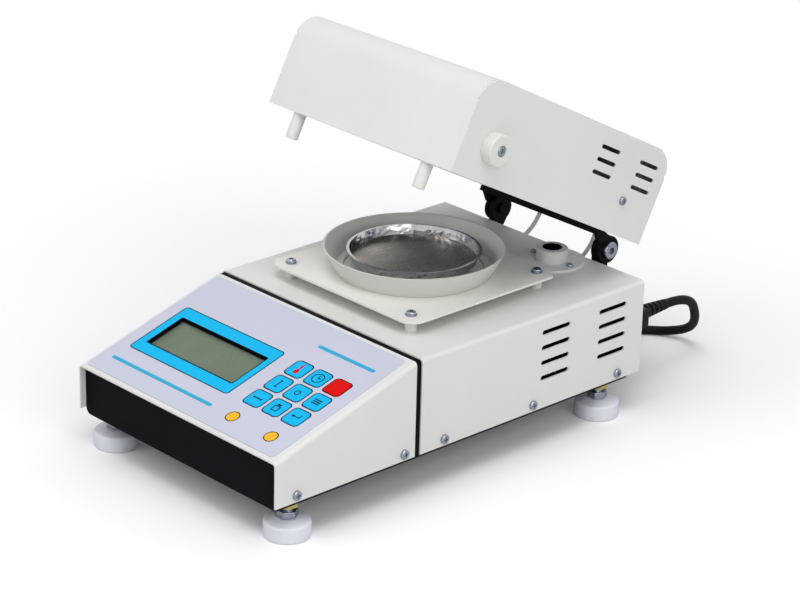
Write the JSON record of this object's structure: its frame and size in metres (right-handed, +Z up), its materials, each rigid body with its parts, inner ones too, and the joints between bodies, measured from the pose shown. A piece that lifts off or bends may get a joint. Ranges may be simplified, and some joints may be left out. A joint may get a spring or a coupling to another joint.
{
  "type": "moisture analyzer",
  "caption": "Bench moisture analyzer: a hinged halogen drying lid over a precision balance with a foil dish, wind ring, sloping keypad console and levelling feet.",
  "frame": {"origin": "on the floor, in the middle of the object's own bounding box without its cord", "axes": "+X to the right of someone at the keypad, +Y to the back where the lid hinges, +Z up"},
  "size_m": [0.251, 0.4835, 0.2802],
  "materials": {
    "white_paint": "satin powder coat",
    "black_paint": "matte black paint",
    "overlay_film": "satin printed film",
    "blue_key": "satin printed film",
    "red_key": "satin printed film",
    "clear_pane": "clear",
    "display_glass": "gloss",
    "board": "solder mask",
    "zinc": "zinc plated",
    "brass_zinc": "yellow plated",
    "nylon": "satin nylon",
    "aluminium": "bright",
    "quartz": "clear quartz",
    "ceramic": "fired ceramic",
    "probe_steel": "polished",
    "black_plastic": "satin",
    "rubber": "matte",
    "sleeve": "braided glass sleeve"
  },
  "bodies": {
    "base": {"chassis_tray": "black_paint", "front_panel": "black_paint", "rear_panel": "black_paint", "divider_frame": "black_paint", "console_cover": "white_paint", "body_cover": "white_paint", "cover_screws": "zinc", "keypad_overlay": "overlay_film", "keypad_board": "board", "display_window": "clear_pane", "display_module": "display_glass", "pan_plate": "white_paint", "plate_standoffs": "nylon", "plate_screws": "zinc", "wind_ring": "white_paint", "load_cell": "aluminium", "load_cell_mount": "aluminium", "level_housing": "white_paint", "level_vial": "clear_pane", "level_screws": "zinc", "main_board": "board", "transformer": "zinc", "mains_inlet": "black_plastic", "hinge_brackets": "black_paint", "hinge_bolts": "zinc", "heater_leads": "sleeve", "lead_grommets": "rubber", "lock_nuts": "brass_zinc", "power_connector": "black_plastic", "power_cord": "rubber", "cord_coil": "rubber", "mains_plug": "black_plastic"},
    "lid": {"lid_hinge_bracket": "black_paint", "lid_wrapper": "white_paint", "lid_cheek_left": "white_paint", "lid_cheek_right": "white_paint", "lid_bottom_plate": "zinc", "reflector": "aluminium", "heater": "quartz", "heater_holders": "ceramic", "temperature_sensor": "probe_steel", "lid_posts": "nylon", "lid_knobs": "nylon", "lid_screws": "zinc"},
    "rocker": {"mains_rocker": "black_plastic"},
    "pan": {"pan_support": "aluminium"},
    "dish": {"foil_dish": "aluminium"},
    "key_1_1": {"key_1_1": "blue_key"},
    "key_1_2": {"key_1_2": "blue_key"},
    "key_1_3": {"key_1_3": "red_key"},
    "key_2_1": {"key_2_1": "blue_key"},
    "key_2_2": {"key_2_2": "blue_key"},
    "key_2_3": {"key_2_3": "blue_key"},
    "key_3_1": {"key_3_1": "blue_key"},
    "key_3_2": {"key_3_2": "blue_key"},
    "key_3_3": {"key_3_3": "blue_key"},
    "foot_front_left": {"foot_front_left": "nylon"},
    "foot_front_right": {"foot_front_right": "nylon"},
    "foot_rear_left": {"foot_rear_left": "nylon"},
    "foot_rear_right": {"foot_rear_right": "nylon"}
  },
  "joints": [
    {"name": "lid_hinge", "type": "hinge", "parent": "base", "child": "lid", "pos_m": [0, 0.16972, 0.1084], "axis": [1, 0, 0], "range_deg": [0, 27.6], "deforming": ["heater_leads"]},
    {"name": "rocker_tilt", "type": "hinge", "parent": "base", "child": "rocker", "pos_m": [0.0775, 0.14622, 0.083], "axis": [1, 0, 0], "range_deg": [0, 14]},
    {"name": "pan_travel", "type": "slide", "parent": "base", "child": "pan", "axis": [0, 0, -1], "range_m": [0, 0.00025], "stiffness_N_per_m": 20000, "springref_m": -0.00012},
    {"name": "dish_lift", "type": "slide", "parent": "pan", "child": "dish", "axis": [0, 0, -1], "range_m": [-0.03, 0]},
    {"name": "key_1_1_press", "type": "slide", "parent": "base", "child": "key_1_1", "axis": [0, 0.2825, -0.9593], "range_m": [0, 0.0004], "stiffness_N_per_m": 1500, "springref_m": -0.0003},
    {"name": "key_1_2_press", "type": "slide", "parent": "base", "child": "key_1_2", "axis": [0, 0.2825, -0.9593], "range_m": [0, 0.0004], "stiffness_N_per_m": 1500, "springref_m": -0.0003},
    {"name": "key_1_3_press", "type": "slide", "parent": "base", "child": "key_1_3", "axis": [0, 0.2825, -0.9593], "range_m": [0, 0.0004], "stiffness_N_per_m": 1500, "springref_m": -0.0003},
    {"name": "key_2_1_press", "type": "slide", "parent": "base", "child": "key_2_1", "axis": [0, 0.2825, -0.9593], "range_m": [0, 0.0004], "stiffness_N_per_m": 1500, "springref_m": -0.0003},
    {"name": "key_2_2_press", "type": "slide", "parent": "base", "child": "key_2_2", "axis": [0, 0.2825, -0.9593], "range_m": [0, 0.0004], "stiffness_N_per_m": 1500, "springref_m": -0.0003},
    {"name": "key_2_3_press", "type": "slide", "parent": "base", "child": "key_2_3", "axis": [0, 0.2825, -0.9593], "range_m": [0, 0.0004], "stiffness_N_per_m": 1500, "springref_m": -0.0003},
    {"name": "key_3_1_press", "type": "slide", "parent": "base", "child": "key_3_1", "axis": [0, 0.2825, -0.9593], "range_m": [0, 0.0004], "stiffness_N_per_m": 1500, "springref_m": -0.0003},
    {"name": "key_3_2_press", "type": "slide", "parent": "base", "child": "key_3_2", "axis": [0, 0.2825, -0.9593], "range_m": [0, 0.0004], "stiffness_N_per_m": 1500, "springref_m": -0.0003},
    {"name": "key_3_3_press", "type": "slide", "parent": "base", "child": "key_3_3", "axis": [0, 0.2825, -0.9593], "range_m": [0, 0.0004], "stiffness_N_per_m": 1500, "springref_m": -0.0003},
    {"name": "foot_front_left_turn", "type": "hinge", "parent": "base", "child": "foot_front_left", "pos_m": [-0.0917, -0.16878, 0], "axis": [0, 0, 1], "continuous": true},
    {"name": "foot_front_right_turn", "type": "hinge", "parent": "base", "child": "foot_front_right", "pos_m": [0.0917, -0.16878, 0], "axis": [0, 0, 1], "continuous": true},
    {"name": "foot_rear_left_turn", "type": "hinge", "parent": "base", "child": "foot_rear_left", "pos_m": [-0.0917, 0.12992, 0], "axis": [0, 0, 1], "continuous": true},
    {"name": "foot_rear_right_turn", "type": "hinge", "parent": "base", "child": "foot_rear_right", "pos_m": [0.0917, 0.12992, 0], "axis": [0, 0, 1], "continuous": true}
  ]
}
